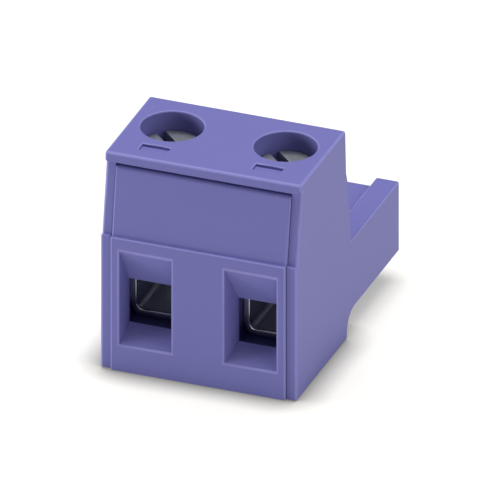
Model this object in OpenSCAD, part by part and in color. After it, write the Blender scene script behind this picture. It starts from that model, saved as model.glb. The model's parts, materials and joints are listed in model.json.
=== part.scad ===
// Pluggable screw terminal block with two poles: wires enter at the front,
// the screws are turned from above, and header pins plug in at the rear.
// X runs across the poles, Y from the wire side to the plug side, Z up.
// Sizes are in millimetres. Y values below count from the face of the front cover.

/* [Poles] */
// Distance between the two pole axes
pole_pitch = 7.62; // [7.3:0.01:9]
// Wall of the housing beside each clamp chamber
side_wall = 0.7; // [0.55:0.05:1.1]

/* [Clamp sleeve] */
// Clear width inside a sleeve
wire_w = 3.1; // [3.05:0.05:3.4]
// Rise of a sleeve from open to shut
clamp_travel = 3; // [2.4:0.1:3.2]
// Sheet thickness of a sleeve
sleeve_sheet = 0.5; // [0.4:0.05:0.65]
// Length of a sleeve, front to back
sleeve_len = 4.4; // [4:0.1:5]
// Height of the threaded collar on top of a sleeve
collar_h = 1.55; // [1.3:0.05:1.9]
// Inner radius of a sleeve's bottom folds
fold_r = 0.35; // [0.2:0.05:0.5]
// Distance from a sleeve's front edge to its screw
bore_setback = 2.17; // [2:0.01:2.4]
// Distance from the front cover's back to a sleeve's front edge
sleeve_setback = 1.78; // [1.6:0.01:2]

/* [Screw] */
// Outside diameter of the thread
thread_d = 2.9; // [2.6:0.1:3]
// Diameter of the head
head_d = 3.86; // [3.6:0.02:4]
// Height of the head
head_h = 1.8; // [1.4:0.1:2.2]
// Chamfer round the top of the head
head_chamfer = 0.2; // [0.1:0.05:0.3]
// Width of the driver slot
slot_w = 0.6; // [0.5:0.05:0.9]
// Depth of the driver slot
slot_depth = 0.9; // [0.6:0.1:1.2]
// Turn of the driver slot away from the front to back line
slot_turn = 45; // [0:1:90]
// Chamfer at the tip of the thread
tip_chamfer = 0.3; // [0.2:0.05:0.5]

/* [Contact] */
// Thickness of the current bar
bar_t = 0.8; // [0.6:0.05:1]
// Inner radius of the bar's bend
bend_r = 0.25; // [0.15:0.05:0.4]
// Thickness of a spring leaf
leaf_t = 0.35; // [0.25:0.05:0.4]
// Height of a spring leaf
leaf_h = 2.5; // [2.2:0.05:2.7]
// Side of the square header pin that plugs in
pin_side = 1; // [0.8:0.05:1.1]
// Squeeze of the two leaves on the pin
pin_squeeze = 0.2; // [0.1:0.05:0.3]
// Length of the flared leaf tips
tip_len = 1.2; // [0.8:0.1:1.5]
// Flare of a leaf tip to its side
tip_flare = 0.3; // [0.2:0.05:0.35]

/* [Front cover] */
// Depth of the cover plate
cover_t = 1.6; // [1.5:0.05:2]
// How far the cover stands ahead of the side walls
face_proud = 0.15; // [0.1:0.05:0.3]
// Depth of the ledge under the leaning panel
ledge_d = 0.27; // [0.2:0.01:0.4]
// Lean of the panel from the ledge up to the lip
front_lean = 0.77; // [0.6:0.01:0.9]
// Height of the plain brow between an entry and the ledge
brow_h = 0.9; // [0.6:0.05:1.2]
// Width of the straight throat behind a funnel
throat_w = 2.92; // [2.6:0.02:3]
// Shift of a throat from its pole axis to the middle of the part
throat_shift = 0.13; // [0:0.01:0.2]
// Depth of the funnel in a wire entry
funnel_d = 1.4; // [1.2:0.05:1.45]
// Slope of a funnel's floor over its depth
floor_rise = 0.97; // [0.6:0.01:1.2]
// Slope of a funnel's roof over its depth
roof_rise = 2.6; // [2:0.05:3]
// Flare of a funnel's outer side
flare_out = 0.15; // [0.1:0.01:0.3]
// Flare of a funnel's inner side
flare_in = 0.46; // [0.3:0.01:0.6]
// Width of the snap tongues behind the cover
tongue_w = 1.8; // [1.2:0.1:2]
// Height of the snap tongues
tongue_h = 1.5; // [1.2:0.1:1.8]
// Length of the snap tongues
tongue_len = 3.2; // [2.4:0.1:4]
// Height of the barb on a snap tongue
barb_h = 0.2; // [0.1:0.05:0.3]
// Length of the barb's flat top
barb_len = 0.8; // [0.4:0.1:1.2]
// Length of the barb's sloping nose
barb_ramp = 0.8; // [0.4:0.1:1.2]

/* [Housing block] */
// Height of the block, base to top
block_h = 15; // [14.7:0.1:17]
// Thickness of the base under the clamp chambers
base_t = 2.25; // [2.1:0.05:2.7]
// Wall behind the current bar
back_wall = 1.02; // [0.8:0.02:1.4]
// Height of the lip over the front cover
lip_h = 0.68; // [0.5:0.01:0.9]
// How far the lip stands ahead of the side walls below it
lip_out = 0.27; // [0.15:0.01:0.35]
// Open groove between the cover and the lip
groove_h = 0.26; // [0.1:0.01:0.4]
// Shelf under a screw head
shelf_t = 0.35; // [0.3:0.05:0.6]
// Lean of the block's back below its shoulder
back_lean = 0.61; // [0.4:0.01:0.8]
// Step of the shoulder on the block's back
shoulder_step = 0.22; // [0.1:0.01:0.3]
// Height of the sloping shoulder
shoulder_h = 0.66; // [0.4:0.02:0.9]
// Distance from the top down to the shoulder
shoulder_drop = 3.04; // [2.6:0.02:3.4]
// Lean of the block's back above its shoulder
upper_lean = 0.15; // [0.1:0.01:0.3]
// Width of the shallow pockets in the top
pocket_w = 1.9; // [1.5:0.05:2.4]
// Front to back size of the shallow pockets
pocket_l = 0.85; // [0.6:0.05:0.95]
// Depth of the shallow pockets
pocket_d = 0.22; // [0.1:0.01:0.3]
// Distance from a pocket's middle back to its screw
pocket_setback = 3.2; // [3.1:0.05:3.3]

/* [Plug section] */
// Length of the plug section behind the block
plug_len = 8.6; // [8:0.1:10]
// Height of the plug's underside above the base
plug_z = 1.75; // [1.6:0.05:2.1]
// Floor of the contact chambers
plug_floor = 0.75; // [0.5:0.05:0.9]
// Deck over the contact chambers
deck_t = 0.8; // [0.6:0.05:1.2]
// Height of the side rails above the deck
rail_h = 0.65; // [0.4:0.05:1]
// Thickness of the side rails
rail_t = 1.58; // [1:0.02:2]
// Wall at the plug's end, with the pin openings
end_wall = 1.2; // [1:0.05:1.6]
// Lead-in round a pin opening
pin_lead = 0.3; // [0.2:0.05:0.35]
// How far the block's foot ends ahead of the block's back
foot_setback = 0.7; // [0.4:0.01:0.9]
// Fillet between the foot and the plug's underside
under_r = 1.3; // [0.8:0.1:1.5]

/* [Clearances] */
// Gap beside a sleeve in its chamber
slide_gap = 0.05; // [0.03:0.01:0.1]
// Gap under an open sleeve
rest_gap = 0.1; // [0.05:0.01:0.2]
// Gap ahead of and behind a sleeve's end positions
stop_gap = 0.1; // [0.05:0.01:0.15]
// Gap left under the bar when a sleeve is shut
shut_gap = 0.15; // [0.12:0.01:0.2]
// Radial gap between a thread and its collar
thread_gap = 0.05; // [0.02:0.01:0.08]
// Gap under a screw's tip and head
seat_gap = 0.03; // [0.02:0.01:0.06]
// Radial gap round a screw head
head_gap = 0.05; // [0.03:0.01:0.1]
// Radial gap round a shank in its shelf
shank_gap = 0.15; // [0.1:0.01:0.2]
// Widening of a driver well from its floor to the top of the head
well_draft = 0.04; // [0.02:0.01:0.1]
// Gap beside the front cover in its bay
seam_gap = 0.02; // [0.01:0.01:0.05]
// Gap round pieces that are pushed into the housing
fit_gap = 0.05; // [0.03:0.01:0.08]
// Gap round the contact leaves in their chamber
leaf_gap = 0.1; // [0.08:0.01:0.2]
// Widening of a pin opening round the pin
pin_gap = 0.25; // [0.15:0.01:0.3]
// Gap beside the current bar in its sleeve
bar_gap = 0.15; // [0.12:0.01:0.2]
// Rise of a wire throat's floor above the floor inside an open sleeve
throat_sill = 0.05; // [0.02:0.01:0.15]

/* [Hidden] */
$fn = 64;
// Overrun of a cut past the face that it opens
over = 1;
// Thickness of the plates that a sloping cut is stretched between
sliver = 0.01;
// Degrees between the points of a fillet
arc_step = 7.5;
// Straight stretches along a spring leaf
leaf_steps = 16;

// Colours
nylon = [0.47, 0.47, 0.72];
copper_alloy = [0.78, 0.72, 0.58];
zinc_steel = [0.70, 0.71, 0.73];

// Widths across the poles
sleeve_w = wire_w + 2 * sleeve_sheet;
chamber_w = sleeve_w + 2 * slide_gap;
block_w = pole_pitch + chamber_w + 2 * side_wall;
bay_w = block_w - 2 * side_wall;
cover_w = bay_w - 2 * seam_gap;
bar_w = wire_w - 2 * bar_gap;
leaf_room = bar_w + 2 * leaf_gap;
pin_hole = pin_side + 2 * pin_gap;

// Heights, from the base up through the open clamp to the top
sleeve_z = base_t + rest_gap;
bar_z = sleeve_z + sleeve_sheet + clamp_travel + shut_gap;
bar_top = bar_z + bar_t;
collar_z = bar_top + stop_gap;
sleeve_top = collar_z + collar_h;
chamber_top = sleeve_top + clamp_travel + stop_gap;
well_floor = chamber_top + shelf_t;
head_z = well_floor + seat_gap;
head_top = head_z + head_h;
well_z = head_top + stop_gap;
lip_z = block_h - lip_h;
cover_top = lip_z - groove_h;
throat_z = sleeve_z + sleeve_sheet + throat_sill;
ledge_z = bar_z + roof_rise + brow_h;
shoulder_z = block_h - shoulder_drop;

// Heights in the plug section
leaf_z = plug_z + plug_floor + leaf_gap;
leaf_top = leaf_z + leaf_h;
deck_z = leaf_top + leaf_gap + deck_t;
plug_top = deck_z + rail_h;
pin_z = leaf_z + leaf_h / 2;

// Stations from the cover's face back to the plug's end
bay_y = cover_t + fit_gap;
sleeve_y = bay_y + sleeve_setback;
screw_y = sleeve_y + bore_setback;
chamber_back = sleeve_y + sleeve_len + stop_gap;
leg_y = chamber_back + fit_gap;
leg_back = leg_y + bar_t;
slot_back = leg_back + fit_gap;
block_len = slot_back + back_wall;
shoulder_y = block_len - back_lean;
foot_len = block_len - foot_setback;
total_len = block_len + plug_len;
end_y = total_len - end_wall;
leaf_end = end_y - 2 * leaf_gap;
panel_slope = front_lean / (lip_z - ledge_z);
lip_y = face_proud + ledge_d + front_lean - lip_out;

// Round sizes
thread_r = thread_d / 2;
head_r = head_d / 2;
well_floor_r = head_r + head_gap;
well_r = well_floor_r + well_draft;

// Snap tongues lie in the middle web, one low and one high
tongue_levels = [(throat_z + bar_z) / 2, (chamber_top + lip_z) / 2];

// Puts the part's origin under the middle of its length
module at_origin() {
    translate([0, -total_len / 2, 0]) children();
}

// Carries a profile drawn in Y and Z across the width
module across(width) {
    rotate([90, 0, 90])
        linear_extrude(height = width, center = true)
            children();
}

// Box given by its width, centred on X, and by its low and high Y and Z
module slab(width, y_low, y_high, z_low, z_high) {
    translate([-width / 2, y_low, z_low])
        cube([width, y_high - y_low, z_high - z_low]);
}

// Upright cylinder on a pole's screw axis
module on_screw_axis(radius, z_low, z_high) {
    translate([0, screw_y, z_low])
        cylinder(r = radius, h = z_high - z_low);
}

// Repeats a shape at both poles; side is -1 at the left and 1 at the right
module at_pole(side) {
    translate([side * pole_pitch / 2, 0, 0]) children();
}

// Rectangle whose two lower corners are rounded, standing on Z = 0
module trough(width, height, radius) {
    translate([-width / 2, radius])
        square([width, height - radius]);
    translate([-width / 2 + radius, 0])
        square([width - 2 * radius, height]);
    for (side = [-1, 1])
        translate([side * (width / 2 - radius), radius])
            circle(r = radius);
}

// Outline of the housing seen from its side, as [Y, Z] points
function housing_outline() = concat(
    [[face_proud, 0], [face_proud, ledge_z]],
    [[face_proud + ledge_d, ledge_z], [face_proud + ledge_d + front_lean, lip_z]],
    [[lip_y, lip_z], [lip_y, block_h]],
    [[shoulder_y - shoulder_step - upper_lean, block_h]],
    [[shoulder_y - shoulder_step, shoulder_z], [shoulder_y, shoulder_z - shoulder_h]],
    [[block_len, plug_top], [total_len, plug_top], [total_len, plug_z]],
    [for (a = [90 : arc_step : 180])
        [foot_len + under_r * (1 + cos(a)), plug_z - under_r * (1 - sin(a))]],
    [[foot_len, 0]]
);

// Space between the side rails, open at the plug's end
module deck_space() {
    slab(block_w - 2 * rail_t, block_len, total_len + over, deck_z, plug_top + over);
}

// Square opening for a header pin, with its lead-in
module pin_opening() {
    slab(pin_hole, end_y - over, total_len + over, pin_z - pin_hole / 2, pin_z + pin_hole / 2);
    hull() {
        for (grow = [0, pin_lead])
            translate([0, total_len - pin_lead + grow, pin_z])
                cube([pin_hole + 2 * grow, sliver, pin_hole + 2 * grow], center = true);
    }
}

// Well for a screw head and its driver: drafted round the head and straight above it
module driver_well() {
    translate([0, screw_y, 0])
        rotate_extrude()
            polygon([
                [0, well_floor],
                [well_floor_r, well_floor],
                [well_r, well_z],
                [well_r, block_h + over],
                [0, block_h + over]
            ]);
}

// Everything that is hollow at one pole of the housing
module pole_space() {
    slab(chamber_w, bay_y - over, chamber_back, base_t, chamber_top);
    slab(bar_w + 2 * fit_gap, chamber_back - over, slot_back, leaf_z - fit_gap, bar_top + fit_gap);
    slab(leaf_room, chamber_back - over, end_y, leaf_z - leaf_gap, leaf_top + leaf_gap);
    pin_opening();
    on_screw_axis(thread_r + shank_gap, chamber_top - over, well_floor + over);
    driver_well();
    slab(pocket_w, screw_y - pocket_setback - pocket_l / 2, screw_y - pocket_setback + pocket_l / 2,
         block_h - pocket_d, block_h + over);
}

// Snap tongue with its barb, or with a gap the slot that takes it
module tongue(gap = 0) {
    half_h = tongue_h / 2 + gap;
    tip_y = cover_t + tongue_len + gap;
    catch_y = tip_y - barb_ramp - barb_len - 2 * gap;
    slab(tongue_w + 2 * gap, cover_t - over / 2, tip_y, -half_h, half_h);
    across(tongue_w + 2 * gap)
        polygon([
            [catch_y, half_h - barb_h],
            [catch_y, half_h + barb_h],
            [tip_y - barb_ramp, half_h + barb_h],
            [tip_y, half_h - barb_h]
        ]);
}

module housing() {
    color(nylon) at_origin() difference() {
        across(block_w) polygon(housing_outline());
        slab(bay_w, -over, bay_y, -over, lip_z);
        deck_space();
        for (side = [-1, 1]) at_pole(side) pole_space();
        for (level = tongue_levels) translate([0, 0, level]) tongue(fit_gap);
    }
}

// Wire entry of one pole: a funnel and the throat behind it
module wire_entry(side) {
    low_flare = side > 0 ? flare_in : flare_out;
    low_x = -side * throat_shift - throat_w / 2;
    reach = 1 + over / funnel_d;
    translate([low_x, 0, throat_z])
        cube([throat_w, cover_t + over, bar_z - throat_z]);
    hull() {
        translate([low_x, funnel_d - sliver, throat_z])
            cube([throat_w, sliver, bar_z - throat_z]);
        translate([low_x - low_flare * reach, -over, throat_z - floor_rise * reach])
            cube([throat_w + (flare_in + flare_out) * reach, sliver,
                  bar_z - throat_z + (floor_rise + roof_rise) * reach]);
    }
}

module front_cover() {
    color(nylon) at_origin() {
        difference() {
            across(cover_w)
                polygon([
                    [0, 0],
                    [0, ledge_z],
                    [ledge_d, ledge_z],
                    [ledge_d + panel_slope * (cover_top - ledge_z), cover_top],
                    [cover_t, cover_top],
                    [cover_t, 0]
                ]);
            for (side = [-1, 1]) at_pole(side) wire_entry(side);
        }
        for (level = tongue_levels) translate([0, 0, level]) tongue();
    }
}

// X of a spring leaf's middle line at a share t of its length: it leans in from the bar to the pin
function leaf_x(t) = let (
    root_x = (bar_w - leaf_t) / 2,
    pinch_x = (pin_side - pin_squeeze + leaf_t) / 2
) root_x + (pinch_x - root_x) * (1 - cos(180 * t)) / 2;

// Spring leaf on the +X side, drawn from above and carried up through its height
module leaf() {
    pinch_y = leaf_end - tip_len;
    root_y = leg_back - bar_t / 2;
    path = concat(
        [for (i = [0 : leaf_steps]) [leaf_x(i / leaf_steps), root_y + (pinch_y - root_y) * i / leaf_steps]],
        [[leaf_x(1) + tip_flare, leaf_end]]
    );
    translate([0, 0, leaf_z])
        linear_extrude(height = leaf_h)
            polygon(concat(
                [for (p = path) p - [leaf_t / 2, 0]],
                [for (i = [len(path) - 1 : -1 : 0]) path[i] + [leaf_t / 2, 0]]
            ));
}

// Current bar over the clamp, bent down behind it and split into two spring leaves
module contact(side) {
    bar_y = sleeve_y - stop_gap;
    bend_y = leg_y - bend_r;
    outer_r = bend_r + bar_t;
    color(copper_alloy) at_origin() at_pole(side) {
        across(bar_w) {
            translate([bar_y, bar_z]) square([bend_y - bar_y, bar_t]);
            translate([leg_y, leaf_z]) square([bar_t, bar_z - bend_r - leaf_z]);
            translate([bend_y, bar_z - bend_r])
                intersection() {
                    difference() {
                        circle(r = outer_r);
                        circle(r = bend_r);
                    }
                    square(outer_r + over);
                }
        }
        leaf();
        mirror([1, 0, 0]) leaf();
    }
}

module contact_left() { contact(-1); }
module contact_right() { contact(1); }

// Folded box of sheet round the wire space, with the threaded collar on top
module clamp_sleeve(side) {
    color(zinc_steel) at_origin() at_pole(side) difference() {
        translate([0, sleeve_y + sleeve_len / 2, sleeve_z])
            rotate([90, 0, 0])
                linear_extrude(height = sleeve_len, center = true)
                    difference() {
                        trough(sleeve_w, sleeve_top - sleeve_z, fold_r + sleeve_sheet);
                        translate([0, sleeve_sheet])
                            trough(wire_w, collar_z - sleeve_z - sleeve_sheet, fold_r);
                    }
        on_screw_axis(thread_r + thread_gap, collar_z - over, sleeve_top + over);
    }
}

module clamp_sleeve_left() { clamp_sleeve(-1); }
module clamp_sleeve_right() { clamp_sleeve(1); }

// Slotted screw: its tip bears on the current bar and its head lies in the driver well
module screw(side) {
    tip_z = bar_top + seat_gap;
    color(zinc_steel) at_origin() at_pole(side) translate([0, screw_y, 0]) difference() {
        rotate_extrude()
            polygon([
                [0, tip_z],
                [thread_r - tip_chamfer, tip_z],
                [thread_r, tip_z + tip_chamfer],
                [thread_r, head_z],
                [head_r, head_z],
                [head_r, head_top - head_chamfer],
                [head_r - head_chamfer, head_top],
                [0, head_top]
            ]);
        rotate([0, 0, slot_turn])
            slab(slot_w, -head_r - over, head_r + over, head_top - slot_depth, head_top + over);
    }
}

module screw_left() { screw(-1); }
module screw_right() { screw(1); }

housing();
front_cover();
contact_left();
contact_right();
clamp_sleeve_left();
clamp_sleeve_right();
screw_left();
screw_right();
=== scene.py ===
# %% [markdown]
# # A pluggable screw terminal block
# A violet plug for two wires, about as long as a thumbnail. Wires go into the two funnels in front,
# a screwdriver turns the two screws from above, and the low section behind slides onto a pin header.
# The solids arrive at their real size, so this lesson adds what the eye misses on them: the small
# rounding of moulded edges, real screw threads, and finishes that behave like nylon, zinc and tin.

# %% Load the solids
import json
import math

import bmesh
import bpy
import numpy as np
from mathutils import Matrix, Vector

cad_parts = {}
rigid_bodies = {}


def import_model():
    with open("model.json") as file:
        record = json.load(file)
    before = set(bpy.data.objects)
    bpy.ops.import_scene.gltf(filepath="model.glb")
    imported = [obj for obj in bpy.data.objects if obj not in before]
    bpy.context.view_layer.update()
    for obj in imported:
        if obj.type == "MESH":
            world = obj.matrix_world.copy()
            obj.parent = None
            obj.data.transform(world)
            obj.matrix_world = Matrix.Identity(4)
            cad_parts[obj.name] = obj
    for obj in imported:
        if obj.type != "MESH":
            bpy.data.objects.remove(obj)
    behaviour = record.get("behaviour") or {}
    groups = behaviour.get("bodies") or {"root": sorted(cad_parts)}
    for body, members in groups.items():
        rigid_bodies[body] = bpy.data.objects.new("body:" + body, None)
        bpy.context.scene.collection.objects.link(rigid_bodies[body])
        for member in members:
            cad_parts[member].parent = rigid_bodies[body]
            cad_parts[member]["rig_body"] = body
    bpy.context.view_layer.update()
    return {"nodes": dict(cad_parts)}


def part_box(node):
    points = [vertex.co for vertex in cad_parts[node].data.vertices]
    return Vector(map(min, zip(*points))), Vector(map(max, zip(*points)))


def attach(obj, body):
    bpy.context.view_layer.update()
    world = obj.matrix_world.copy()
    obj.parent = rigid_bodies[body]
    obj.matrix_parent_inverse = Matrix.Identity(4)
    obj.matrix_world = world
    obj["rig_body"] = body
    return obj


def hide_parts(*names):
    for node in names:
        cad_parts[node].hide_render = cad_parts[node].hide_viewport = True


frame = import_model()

# One millimetre in Blender's metres
MM = 0.001
print("solids:", ", ".join(sorted(frame["nodes"])))

# %% [markdown]
# ## Camera
# Catalogue pictures of small parts are often taken with no perspective, so that edges stay parallel.
# An orthographic camera does the same. Its two angles come from the directions of the part's three
# edges in the picture, and its scale from the part's outline there.

# %% Camera
AZIMUTH = 20.74
ELEVATION = 28.0
FRAME_PIXELS = 500
PIXELS_PER_MM = 15.91
# Point of the part that lies in the middle of the picture, in millimetres
LOOK_AT = Vector((0.35, -0.84, 5.57))
# Metres from that point: with no perspective, the camera only has to be clear of the part
CAMERA_DISTANCE = 0.15


def aim(thing, azimuth, elevation, distance):
    """Puts a camera or a lamp that many metres from the point looked at, facing it. azimuth turns from
    the front to the right and elevation rises from the floor, both in degrees."""
    a, e = math.radians(azimuth), math.radians(elevation)
    towards = Vector((math.sin(a) * math.cos(e), -math.cos(a) * math.cos(e), math.sin(e)))
    thing.location = LOOK_AT * MM + towards * distance
    thing.rotation_euler = (-towards).to_track_quat("-Z", "Y").to_euler()
    bpy.context.scene.collection.objects.link(thing)


camera = bpy.data.objects.new("camera", bpy.data.cameras.new("camera"))
camera.data.type = "ORTHO"
camera.data.ortho_scale = FRAME_PIXELS / PIXELS_PER_MM * MM
camera.data.clip_start = 0.001
camera.data.clip_end = 2.0
aim(camera, AZIMUTH, ELEVATION, CAMERA_DISTANCE)
bpy.context.scene.camera = camera
print("picture width in mm:", round(camera.data.ortho_scale / MM, 2))

# %% [markdown]
# ## Nodes and colours
# A material is a small graph of nodes. One helper adds a node, sets its inputs and links it, so each
# finish below reads as a list of what it is made of. Colours are written the way a picture editor
# shows them, as sRGB hex, and turned into the linear values that light is counted in.

# %% Helpers for materials
# A Mix node has sockets for numbers and vectors too. These are the ones for colours.
COLOUR_A, COLOUR_B, MIXED = 6, 7, 2


def linear(hex_colour):
    """Linear RGBA of an sRGB hex colour: a straight line near black and a 2.4 power above it."""
    srgb = np.array([int(hex_colour[i:i + 2], 16) for i in (1, 3, 5)]) / 255
    rgb = np.where(srgb <= 0.04045, srgb / 12.92, ((srgb + 0.055) / 1.055) ** 2.4)
    return (*rgb.tolist(), 1.0)


def per_mm(size):
    """Texture scale whose features are that many millimetres across, since coordinates are metres."""
    return 1 / (size * MM)


def add(tree, kind, inputs=None, **settings):
    """Adds a node. settings are its own properties; inputs maps a socket's name or number to a value,
    or to a (node, output) pair that is linked to it."""
    node = tree.nodes.new("ShaderNode" + kind)
    for key, value in settings.items():
        setattr(node, key, value)
    for key, value in (inputs or {}).items():
        if isinstance(value, tuple) and isinstance(value[0], bpy.types.Node):
            tree.links.new(value[0].outputs[value[1]], node.inputs[key])
        else:
            node.inputs[key].default_value = value
    return node


def new_material(name):
    """An empty material, with its node tree and its Object coordinates."""
    material = bpy.data.materials.new(name)
    material.use_nodes = True
    tree = material.node_tree
    tree.nodes.clear()
    return material, tree, (add(tree, "TexCoord"), "Object")


print("a middle grey of #808080 in linear light:", round(linear("#808080")[0], 3))

# %% [markdown]
# ## Floor
# The part stands on a light table: a pale opal sheet that glows, so that it looks white and lights the
# roofs of the recesses from below. Where the part covers it closely the sheet is shaded. The Ambient
# Occlusion node says how much of the space within two millimetres is open, and both the glow and the
# sheet's tone fall with it, which leaves a narrow dark line along the base.

# %% Floor
# Half a side of the sheet, in metres
FLOOR_HALF = 0.6
# Size of the faint clouds in the sheet, and how far its shade reaches from the part, in millimetres
FLOOR_CLOUDS = 2.0
SHADE_REACH = 2.1
# Open share of that space at which the shade is deepest, and what it then leaves of tone and glow
SHADE_DEEPEST = 0.5
SHADE_LEAVES = 0.36
GLOW = 0.59

corners = [(-1, -1), (1, -1), (1, 1), (-1, 1)]
floor_mesh = bpy.data.meshes.new("floor")
floor_mesh.from_pydata([(x * FLOOR_HALF, y * FLOOR_HALF, 0) for x, y in corners], [], [(0, 1, 2, 3)])
floor = bpy.data.objects.new("floor", floor_mesh)
bpy.context.scene.collection.objects.link(floor)

# Matt opal acrylic, lit from below: an even white, with no gloss that would mirror the part
table, tree, place = new_material("matt_opal_light_table")
cloud = add(tree, "TexNoise", {"Vector": place, "Scale": per_mm(FLOOR_CLOUDS), "Detail": 3.0})
tone = add(tree, "Mix", {
    "Factor": (cloud, "Fac"), COLOUR_A: linear("#adaca9"), COLOUR_B: linear("#b0afac"),
}, data_type="RGBA")
near = add(tree, "AmbientOcclusion", {"Distance": SHADE_REACH * MM})
clear = add(tree, "MapRange", {
    "Value": (near, "AO"), "From Min": SHADE_DEEPEST, "To Min": SHADE_LEAVES,
})
tone = add(tree, "Mix", {
    "Factor": (clear, "Result"), COLOUR_A: linear("#000000"), COLOUR_B: (tone, MIXED),
}, data_type="RGBA")
glow = add(tree, "MapRange", {"Value": (clear, "Result"), "To Max": GLOW})
shader = add(tree, "BsdfPrincipled", {
    "Base Color": (tone, MIXED), "Roughness": 0.9, "Specular IOR Level": 0.1,
    "Emission Color": linear("#fffdf8"), "Emission Strength": (glow, "Result"),
})
add(tree, "OutputMaterial", {"Surface": (shader, "BSDF")})
floor_mesh.materials.append(table)
print("floor of", table.name, "is", 2 * FLOOR_HALF, "m wide")

# %% [markdown]
# ## Light
# The main lamp hangs nearly overhead, so the top is the lightest face and the floors of the recesses
# in front stay dark. A low lamp far to the left brushes along the front, one on the right lights the
# side, and a weak one in front reaches into the wire entries. A dim surround gives the metals something
# to mirror.

# %% Light
SURROUND = 0.12
LAMP_DISTANCE = 0.30
# Name, azimuth and elevation in degrees, side in metres, and brightness
LAMPS = (
    ("lamp_behind", 200, 79, 0.26, 1.20),
    ("lamp_left", -72, 8, 0.1, 0.86),
    ("lamp_front", 0, 4, 0.06, 0.10),
    ("lamp_right", 80, 30, 0.2, 0.47),
)


def soft_lamp(name, azimuth, elevation, side, brightness):
    """Square lamp that faces the part. brightness is how bright a white card that faces it looks, so its
    power is that times pi squared times the distance squared."""
    lamp = bpy.data.objects.new(name, bpy.data.lights.new(name, "AREA"))
    lamp.data.size = side
    lamp.data.energy = brightness * (math.pi * LAMP_DISTANCE) ** 2
    lamp.visible_camera = False
    aim(lamp, azimuth, elevation, LAMP_DISTANCE)


world = bpy.data.worlds.new("white_surround")
world.use_nodes = True
background = world.node_tree.nodes["Background"]
background.inputs["Color"].default_value = linear("#ffffff")
background.inputs["Strength"].default_value = SURROUND
bpy.context.scene.world = world
for lamp in LAMPS:
    soft_lamp(*lamp)
bpy.context.scene.view_settings.view_transform = "Standard"
print("lamps:", ", ".join(lamp[0] for lamp in LAMPS))

# %% [markdown]
# ## Moulded nylon
# The shells are polyamide, coloured in the mass and moulded in a spark-eroded steel tool. That gives
# an even violet with a fine satin grain, a broad soft gloss and hardly any mottle from the flow.
# The grain is a bump, because it is less than a hundredth of a millimetre deep and changes the gloss but
# not the outline. Handling rubs the grain off the edges first, so these are smoother; their lighter tone
# is a painted highlight.

# %% Moulded polyamide
# Flow marks of the melt are a few millimetres long and only just visible
FLOW_MARKS = 5.0
# Spark grain is about 0.03 mm; it is drawn at 0.14 mm so that two pixels can show it
SPARK_GRAIN = 0.14
GRAIN_DEPTH = 0.006


def edge_highlight_and_polish(tree, tone, highlight, satin, smooth):
    """Tone and roughness of a surface with a painted highlight on its edges. The attribute rounded is 1
    along each rounded edge. There the tone goes over to the lighter highlight colour, which is a painted
    highlight, and the roughness goes from satin to smooth, as handling polishes edges."""
    edge = (add(tree, "Attribute", attribute_name="rounded"), "Fac")
    mixed = add(tree, "Mix", {
        "Factor": edge, COLOUR_A: tone, COLOUR_B: linear(highlight),
    }, data_type="RGBA")
    rough = add(tree, "MapRange", {"Value": edge, "To Min": satin, "To Max": smooth})
    return (mixed, MIXED), (rough, "Result")


def moulded_polyamide(name, colour, lighter, highlight):
    """Polyamide: two close tones mixed by flow marks, with spark grain in bump and roughness, and a
    painted highlight in a lighter tone along the rounded edges.
    """
    material, tree, place = new_material(name)
    flow = add(tree, "TexNoise", {
        "Vector": place, "Scale": per_mm(FLOW_MARKS), "Detail": 4.0, "Roughness": 0.6,
    })
    grain = add(tree, "TexNoise", {
        "Vector": place, "Scale": per_mm(SPARK_GRAIN), "Detail": 2.0, "Roughness": 0.5,
    })
    tone = add(tree, "Mix", {
        "Factor": (flow, "Fac"), COLOUR_A: linear(colour), COLOUR_B: linear(lighter),
    }, data_type="RGBA")
    satin = add(tree, "MapRange", {"Value": (grain, "Fac"), "To Min": 0.44, "To Max": 0.56})
    # Rounded edges get a painted highlight in the lighter tone, and a lower roughness
    tone, rough = edge_highlight_and_polish(tree, (tone, MIXED), highlight, (satin, "Result"), smooth=0.45)
    bump = add(tree, "Bump", {
        "Height": (grain, "Fac"), "Strength": 0.25, "Distance": GRAIN_DEPTH * MM,
    })
    shader = add(tree, "BsdfPrincipled", {
        "Base Color": tone, "Roughness": rough, "Normal": (bump, "Normal"),
        "IOR": 1.53, "Specular IOR Level": 0.22,
    })
    add(tree, "OutputMaterial", {"Surface": (shader, "BSDF")})
    return material


# Violet all through, with a soft sheen and a fine light line along each edge, partly from the rounding and
# partly a painted highlight
violet_nylon = moulded_polyamide("moulded_violet_polyamide", "#6464a1", "#6767a4", "#7c7ab5")
print("made", violet_nylon.name)

# %% [markdown]
# ## Plated metals
# The clamp sleeves are folded from steel sheet and zinc plated: a cool grey with faint rolling lines.
# The screws are cold headed steel under the same zinc, and the contacts are a stamped copper alloy
# under bright tin. Metals mirror what is round them, so deep in the block they look dark. Only
# their rounded edges catch the light, and a painted highlight on those edges adds to it.

# %% Plated sheet and screws
MOTTLE = 0.8
LINE_DEPTH = 0.004
# How much smoother the metal is at the foot of a line, and how much rougher at its crest
LINE_SMOOTHER = 0.06
LINE_ROUGHER = 0.08


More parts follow.
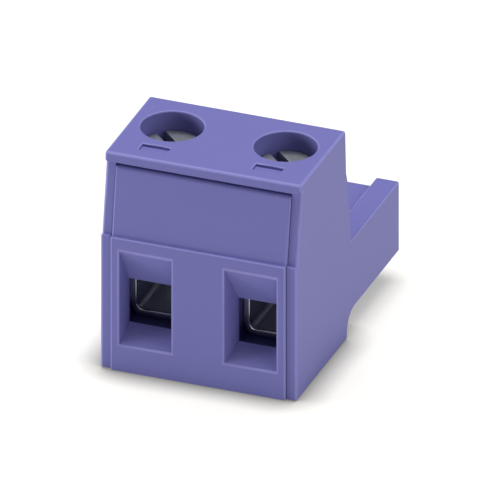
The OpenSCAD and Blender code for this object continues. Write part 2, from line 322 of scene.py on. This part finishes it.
def plated_metal(name, colour, tint, highlight, roughness, line_width, line_stretch):
    """Plated metal: a mottle of two tones, and fine lines of that width in mm, drawn out front to back
    by line_stretch. Its rounded edges get a painted highlight, a brighter tone, and are smoother, as
    burnished ones are."""
    material, tree, place = new_material(name)
    mottle = add(tree, "TexNoise", {"Vector": place, "Scale": per_mm(MOTTLE), "Detail": 3.0})
    along = add(tree, "Mapping", {"Vector": place, "Scale": (1.0, 1.0 / line_stretch, 1.0)})
    lines = add(tree, "TexNoise", {
        "Vector": (along, "Vector"), "Scale": per_mm(line_width), "Detail": 2.0,
    })
    tone = add(tree, "Mix", {
        "Factor": (mottle, "Fac"), COLOUR_A: linear(colour), COLOUR_B: linear(tint),
    }, data_type="RGBA")
    satin = add(tree, "MapRange", {
        "Value": (lines, "Fac"), "To Min": roughness - LINE_SMOOTHER, "To Max": roughness + LINE_ROUGHER,
    })
    # Rounded edges get a painted highlight in the brighter tone, and a lower roughness
    tone, rough = edge_highlight_and_polish(tree, (tone, MIXED), highlight, (satin, "Result"), smooth=0.18)
    bump = add(tree, "Bump", {
        "Height": (lines, "Fac"), "Strength": 0.3, "Distance": LINE_DEPTH * MM,
    })
    shader = add(tree, "BsdfPrincipled", {
        "Base Color": tone, "Metallic": 1.0, "Roughness": rough, "Normal": (bump, "Normal"),
    })
    add(tree, "OutputMaterial", {"Surface": (shader, "BSDF")})
    return material


# Cool grey sheet with long rolling lines, and a painted white highlight on its edges
zinc_sheet = plated_metal(
    "zinc_plated_folded_steel", "#b6bada", "#bec2de", "#f6f7fb",
    roughness=0.45, line_width=0.06, line_stretch=20.0)
# Darker, dull grey of a pressed head, with a short broken grain and a painted highlight on its edges
zinc_screw = plated_metal(
    "zinc_plated_cold_headed_steel", "#8f9299", "#9b9da1", "#d0d3d8",
    roughness=0.42, line_width=0.05, line_stretch=1.5)
# Warm, bright grey of tin, smoother than the zinc, with a painted highlight on its edges
tin_alloy = plated_metal(
    "tin_plated_copper_alloy", "#b9b8b4", "#c4c2bb", "#dedcd6",
    roughness=0.3, line_width=0.08, line_stretch=8.0)
print("made", ", ".join(m.name for m in (zinc_sheet, zinc_screw, tin_alloy)))

# %% [markdown]
# ## Radii
# No moulded or stamped edge is sharp. Tool makers leave a radius of a tenth or two of a millimetre,
# and that narrow curve, with the painted highlight that the materials put on it, is what shows as a light
# line round every face. The outer edges are rounded more than the inner ones, and none by more than a
# share of the face beside it, so that small steps keep their form. Where one piece closes on another the
# radius differs, so a box called a zone sets it there.

# %% Radii
# Share of the face beside an edge that its radius may take
SHARE = 0.35
# How near to a side of the piece's box an edge counts as lying on it, in millimetres
REACH = np.array((0.6, 1.2, 0.2))
# How near to a zone's box a point counts as lying in the zone, in millimetres
ZONE_REACH = 0.1


def box_in_mm(node):
    """Lowest and highest corner of a solid, in millimetres."""
    return [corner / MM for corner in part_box(node)]


def depth_in(box, point):
    """How far a point lies inside a box, along each axis. It is negative outside."""
    low, high, point = np.array(box[0]), np.array(box[1]), np.array(point)
    return np.minimum(point - low, high - point)


def edge_radius(edge, box, outer, inner, zones):
    """Radius of one edge: outer where it lies on two sides of the box, else inner, but no more than a
    share of the width of the narrower face beside it, which is that face's area over the edge's length.
    An edge that lies in a zone has that zone's radius."""
    middle = (edge.verts[0].co + edge.verts[1].co) / 2
    for zone, radius in zones:
        if np.all(depth_in(zone, middle) > -ZONE_REACH):
            return radius
    sides = np.sum(depth_in(box, middle) < REACH)
    room = min(face.calc_area() for face in edge.link_faces) / edge.calc_length()
    return min(outer if sides >= 2 else inner, SHARE * room)


print("a radius takes up to", SHARE, "of the face beside it")

# %% [markdown]
# ## Rounded copies
# A Bevel modifier is the usual way to round edges. It needs clean flat faces, so each copied solid is
# first merged and freed of the lines that cross its flat faces. Only edges that stick out are rounded,
# by bevel weights. It is done in millimetres, because lengths near a ten-thousandth of a metre are hard
# for the modifier, and the finished mesh goes back to metres. An attribute marks the roundings, for the
# painted highlight tone and the smoother finish that the materials give them.

# %% Rounded copies
# Points that are nearer to each other than this are one point, in millimetres
MERGE = 0.002
# Faces that meet at less than the first angle are one flat face, and at more than the second an edge
FLAT = math.radians(0.5)
SHARP = math.radians(25)
# Number of the material slot that the modifier gives to roundings
ROUNDING = 1


def clean_solid(node, cuts):
    """Copy of a solid in millimetres, with whole flat faces. A face with a hole has to be cut open, and
    cuts are the X values where that is done, so that no cut runs into a corner and pinches the rounding
    there."""
    shape = bmesh.new()
    shape.from_mesh(frame["nodes"][node].data)
    bmesh.ops.scale(shape, vec=(1 / MM, 1 / MM, 1 / MM), verts=shape.verts)
    bmesh.ops.remove_doubles(shape, verts=shape.verts, dist=MERGE)
    kept = set()
    for x in cuts:
        everything = shape.verts[:] + shape.edges[:] + shape.faces[:]
        cut = bmesh.ops.bisect_plane(
            shape, geom=everything, dist=MERGE, plane_co=(x, 0, 0), plane_no=(1, 0, 0))
        kept.update(part for part in cut["geom_cut"] if isinstance(part, bmesh.types.BMEdge))
    loose = [edge for edge in shape.edges if edge not in kept]
    bmesh.ops.dissolve_limit(shape, angle_limit=FLAT, verts=shape.verts, edges=loose)
    return shape


def weigh_edges(shape, box, outer, inner, zones):
    """Bevel weights, each an edge's radius as a share of the widest radius, which is returned. Edges that
    turn inwards stay sharp."""
    widest = max([outer] + [radius for _, radius in zones])
    weight = shape.edges.layers.float.new("bevel_weight_edge")
    for edge in shape.edges:
        if edge.calc_face_angle() > SHARP:
            edge.smooth = edge.is_convex
            radius = edge_radius(edge, box, outer, inner, zones) if edge.is_convex else 0
            edge[weight] = radius / widest
    return widest


def bevelled(piece, width, segments):
    """Mesh of a piece after a bevel of that width by its edge weights."""
    bevel = piece.modifiers.new("rounding", "BEVEL")
    bevel.width = width
    bevel.segments = segments
    bevel.limit_method = "WEIGHT"
    bevel.use_clamp_overlap = False
    bevel.harden_normals = True
    bevel.material = ROUNDING
    finished = piece.evaluated_get(bpy.context.evaluated_depsgraph_get())
    mesh = bpy.data.meshes.new_from_object(finished)
    piece.modifiers.clear()
    return mesh


def mark_roundings(mesh, zones):
    """Point attribute rounded: 1 where all faces at a point are roundings, and 0 where a flat face touches
    it or in a zone, which gets neither the painted highlight nor the smoother finish. All faces then go
    back to the first material slot."""
    rounding = np.empty(len(mesh.polygons), int)
    corners = np.empty(len(mesh.polygons), int)
    point = np.empty(len(mesh.loops), int)
    mesh.polygons.foreach_get("material_index", rounding)
    mesh.polygons.foreach_get("loop_total", corners)
    mesh.loops.foreach_get("vertex_index", point)
    value = np.ones(len(mesh.vertices), np.float32)
    np.minimum.at(value, point, np.repeat(rounding == ROUNDING, corners).astype(np.float32))
    place = np.empty(3 * value.size)
    mesh.vertices.foreach_get("co", place)
    for zone, _ in zones:
        value[np.all(depth_in(zone, place.reshape(-1, 3)) > -ZONE_REACH, 1)] = 0
    mesh.attributes.new("rounded", "FLOAT", "POINT").data.foreach_set("value", value)
    mesh.polygons.foreach_set("material_index", np.zeros(rounding.size, int))
    mesh.materials.pop()


def rounded_copy(node, material, outer, inner, segments=3, zones=(), cuts=()):
    """Piece that replaces a solid, with each edge that sticks out rounded to the radius that edge_radius
    gives. zones are pairs of a box and its radius, and clean_solid says what cuts are."""
    shape = clean_solid(node, cuts)
    widest = weigh_edges(shape, box_in_mm(node), outer, inner, zones)
    draft = bpy.data.meshes.new(node + "_draft")
    shape.to_mesh(draft)
    shape.free()
    draft.attributes.remove(draft.attributes["custom_normal"])
    draft.shade_smooth()
    draft.materials.clear()
    draft.materials.append(material)
    draft.materials.append(material)
    piece = bpy.data.objects.new(node + "_rounded", draft)
    bpy.context.scene.collection.objects.link(piece)
    mesh = bevelled(piece, widest, segments)
    mesh.name = piece.name
    mark_roundings(mesh, zones)
    mesh.transform(Matrix.Scale(MM, 4))
    piece.data = mesh
    bpy.data.meshes.remove(draft)
    body = frame["nodes"][node]["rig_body"]
    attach(piece, body)
    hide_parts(node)
    print(node, "rounded to", outer, "mm:", len(mesh.polygons), "faces, rides on", body)


print("edges sharper than", round(math.degrees(SHARP)), "degrees get a radius")

# %% [markdown]
# ## Shells
# The housing and the front cover are one moulding each. The cover is pushed into the housing: its sides
# close on the side walls in fine seams, whose edges are nearly sharp, and its top edge has a lead-in
# to slip under the lip. The lip ends in a sharp lower edge, and the open groove below it is black.
# Each zone is a box that is measured off from the boxes of the two solids. Faces with holes are cut open
# along the middle of each pole, where the holes are.

# %% Housing and cover
POLE_PITCH = 7.62
LEAD_IN = 0.22
SEAM_EDGE = 0.03
# How far the panel's top edge stays from the cover's sides, and the most that it lies behind its front
PANEL_END = 0.15
PANEL_LEAN = 1.3
# From where to where the lip's lower edge lies behind the cover's front, and above the cover's top
LIP_BACK = (0.9, 0.94)
LIP_RISE = (0.2, 0.3)

cover_low, cover_high = box_in_mm("front_cover")
housing_low, housing_high = box_in_mm("housing")
panel_top = (
    (cover_low.x + PANEL_END, cover_low.y, cover_high.z - LEAD_IN),
    (cover_high.x - PANEL_END, cover_low.y + PANEL_LEAN, cover_high.z))
lip_edge = (
    (housing_low.x, cover_low.y + LIP_BACK[0], cover_high.z + LIP_RISE[0]),
    (housing_high.x, cover_low.y + LIP_BACK[1], cover_high.z + LIP_RISE[1]))
poles = (-POLE_PITCH / 2, POLE_PITCH / 2)
rounded_copy(
    "housing", violet_nylon, outer=0.2, inner=0.12,
    zones=[((cover_low, cover_high), SEAM_EDGE), (lip_edge, SEAM_EDGE)], cuts=poles)
rounded_copy(
    "front_cover", violet_nylon, outer=0.13, inner=0.12, segments=6,
    zones=[(panel_top, LEAD_IN)], cuts=poles)

# %% [markdown]
# ## Clamps and contacts
# The sleeves and the contacts are sheared and folded from sheet, which leaves a small radius on every
# edge. They are rounded in the same way as the shells. Seen through the wire entries, the sleeve's edge
# is the brightest thing on the part, as it mirrors the lamps and carries a painted white highlight.

# %% Sleeves and contacts
for side in ("left", "right"):
    rounded_copy("clamp_sleeve_" + side, zinc_sheet, outer=0.12, inner=0.12)
    rounded_copy("contact_" + side, tin_alloy, outer=0.05, inner=0.05, segments=2)

# %% [markdown]
# ## Screw head
# Each clamp screw has a slotted cylinder head, pressed cold. The solid has a plain shank, so the whole
# screw is worked out anew. The head is one grid: its columns lie across the slot and keep to the slot's
# walls, and each column is a loop over the top, down the skirt and back along the underside.

# %% Slotted head
# Lengths in millimetres
HEAD_HEIGHT = 1.8
HEAD_RIM = 0.2
HEAD_FOOT = 0.06
SLOT_WIDTH = 0.6
SLOT_DEPTH = 0.9
SLOT_EDGE = 0.05
# Columns from the slot to the rim on each side
HEAD_COLUMNS = 20


def quads(points, wrap_rows, wrap_columns):
    """Corner numbers of the quads between neighbours in a grid, joined end to start where it wraps."""
    rows, columns = points.shape[:2]
    row, column = np.meshgrid(
        np.arange(rows if wrap_rows else rows - 1),
        np.arange(columns if wrap_columns else columns - 1), indexing="ij")
    here, below, beside = row * columns, (row + 1) % rows * columns, (column + 1) % columns
    return np.stack([here + column, here + beside, below + beside, below + column], -1).reshape(-1, 4)


def slotted_head(radius, top, bottom):
    """Head round the Z axis with its slot along Y. A column at fraction f from the slot's edge to the
    rim has x = edge + (r - edge) f on a row of radius r, and y = v sqrt(r^2 - x^2), where v runs from -1
    to 1 over the top and back underneath. Columns in the slot go down to its floor."""
    half, edge = SLOT_WIDTH / 2, SLOT_WIDTH / 2 + SLOT_EDGE
    turn = np.linspace(math.acos(edge / radius), 0, HEAD_COLUMNS)
    fraction = (radius * np.cos(turn) - edge) / (radius - edge)
    arc = np.radians([0, 30, 60])
    across = np.concatenate([[0, half], edge - SLOT_EDGE * np.cos(arc), np.full(turn.size, edge)])
    drop = np.concatenate([[SLOT_DEPTH] * 2, SLOT_EDGE * (1 - np.sin(arc)), np.zeros(turn.size)])
    fraction = np.concatenate([np.zeros(2 + arc.size), fraction])
    side = np.concatenate([-np.ones(across.size - 1), np.ones(across.size)])
    across, drop, fraction = (np.concatenate([a[:0:-1], a]) for a in (across, drop, fraction))

    bend = np.radians(np.arange(0, 91, 15))
    floor = top - SLOT_DEPTH
    row_radius = np.concatenate([
        [radius - HEAD_RIM] * 2, radius - HEAD_RIM + HEAD_RIM * np.sin(bend),
        [radius], radius - HEAD_FOOT + HEAD_FOOT * np.cos(bend), [radius - HEAD_FOOT] * 2])
    row_height = np.concatenate([
        [top] * 2, top - HEAD_RIM + HEAD_RIM * np.cos(bend),
        [floor], bottom + HEAD_FOOT - HEAD_FOOT * np.sin(bend), [bottom] * 2])
    along = np.concatenate([[0, 0.5], np.ones(2 * bend.size + 1), [0.5, 0]])
    row_radius, row_height = (np.concatenate([a, a[-2:0:-1]])[:, None] for a in (row_radius, row_height))
    along = np.concatenate([along, -along[-2:0:-1]])[:, None]

    x = side * (across + (row_radius - edge) * fraction)
    y = along * np.sqrt(np.maximum(row_radius ** 2 - x ** 2, 0))
    sunk = np.where(drop == SLOT_DEPTH, np.minimum(row_height, floor), row_height - drop)
    z = np.where(row_height > floor, sunk, row_height)
    return np.stack([x, y, z], -1)


print("slot in mm:", SLOT_WIDTH, "wide and", SLOT_DEPTH, "deep")

# %% [markdown]
# ## Screw thread
# The shank has a rolled thread of half a millimetre pitch. It is a grid of turns and heights, in which
# the radius is a flat-topped groove that climbs one pitch for each turn. The ridges are in the mesh and
# not in a texture, so that a screw taken out of the block has its thread too.

# %% Rolled thread
# Lengths in millimetres
THREAD_RADIUS = 1.45
THREAD_PITCH = 0.5
THREAD_DEPTH = 0.3
TIP_CHAMFER = 0.3
NECK = 0.4
# Shares of the pitch that are flat at the crest and at the root
CREST = 1 / 8
ROOT = 1 / 4
# Points round the shank, and along each pitch
TURN_STEPS = 72
PITCH_STEPS = 16


def threaded_shank(top, tip):
    """Shank round the Z axis. away is how far a point is from the middle of the nearest crest, 1 being
    the middle of a root: the radius falls from the crest's flat, an eighth of the pitch, to the root's,
    a quarter of it. The tip is chamfered, the neck below the head has the root's radius, and the ends
    close in a point on the axis."""
    turn = np.linspace(0, 2 * np.pi, TURN_STEPS, endpoint=False)[None, :]
    height = np.linspace(tip, top, int((top - tip) / THREAD_PITCH * PITCH_STEPS))[:, None]
    away = np.abs(2 * ((height / THREAD_PITCH - turn / (2 * np.pi)) % 1) - 1)
    radius = THREAD_RADIUS - THREAD_DEPTH * np.clip((away - CREST) / (1 - ROOT - CREST), 0, 1)
    radius = np.minimum(radius, THREAD_RADIUS - TIP_CHAMFER + (height - tip))
    radius = np.minimum(radius, THREAD_RADIUS - THREAD_DEPTH + np.maximum(top - NECK - height, 0))
    point = np.zeros((1, turn.size))
    radius = np.concatenate([point, radius, point])
    height = np.broadcast_to(np.concatenate([height[:1], height, height[-1:]]), radius.shape)
    return np.stack([radius * np.cos(turn), radius * np.sin(turn), height], -1)


print("thread in mm:", 2 * THREAD_RADIUS, "across, pitch", THREAD_PITCH)

# %% [markdown]
# ## Both screws
# A head and a shank that reaches a little way into it make one screw. Each stands in the place of its
# solid and rides on the body that turns, so the slot goes round with it.

# %% Both screws
SLOT_TURN = math.radians(45)
# How far the shank reaches into the head, and how near points are that become one, in millimetres
SHANK_IN_HEAD = 0.1
WELD = 0.0005
CREASE = math.radians(40)


def screw(node):
    """Screw in the place of its solid: its axis, head radius, top and tip come from the solid's box."""
    low, high = (np.array(corner) for corner in box_in_mm(node))
    axis = (low + high) / 2
    bottom = high[2] - HEAD_HEIGHT
    head = slotted_head((high[0] - low[0]) / 2, high[2], bottom)
    shank = threaded_shank(bottom + SHANK_IN_HEAD, low[2])
    points = np.concatenate([head.reshape(-1, 3), shank.reshape(-1, 3)])
    faces = np.concatenate([quads(head, True, False), quads(shank, False, True) + head.size // 3])
    c, s = math.cos(SLOT_TURN), math.sin(SLOT_TURN)
    points = points @ np.array([[c, s, 0], [-s, c, 0], [0, 0, 1]]) + [axis[0], axis[1], 0]
    mesh = bpy.data.meshes.new(node + "_threaded")
    mesh.from_pydata(points, [], faces)
    shape = bmesh.new()
    shape.from_mesh(mesh)
    bmesh.ops.remove_doubles(shape, verts=shape.verts, dist=WELD)
    bmesh.ops.recalc_face_normals(shape, faces=shape.faces)
    bmesh.ops.scale(shape, vec=(MM, MM, MM), verts=shape.verts)
    loose = sum(not edge.is_manifold for edge in shape.edges)
    shape.to_mesh(mesh)
    shape.free()
    mesh.shade_smooth()
    mesh.set_sharp_from_angle(angle=CREASE)
    mesh.materials.append(zinc_screw)
    piece = bpy.data.objects.new(node + "_threaded", mesh)
    bpy.context.scene.collection.objects.link(piece)
    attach(piece, node)
    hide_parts(node)
    print(piece.name, "has", len(mesh.polygons), "faces and", loose, "open edges")


for side in ("left", "right"):
    screw("screw_" + side)
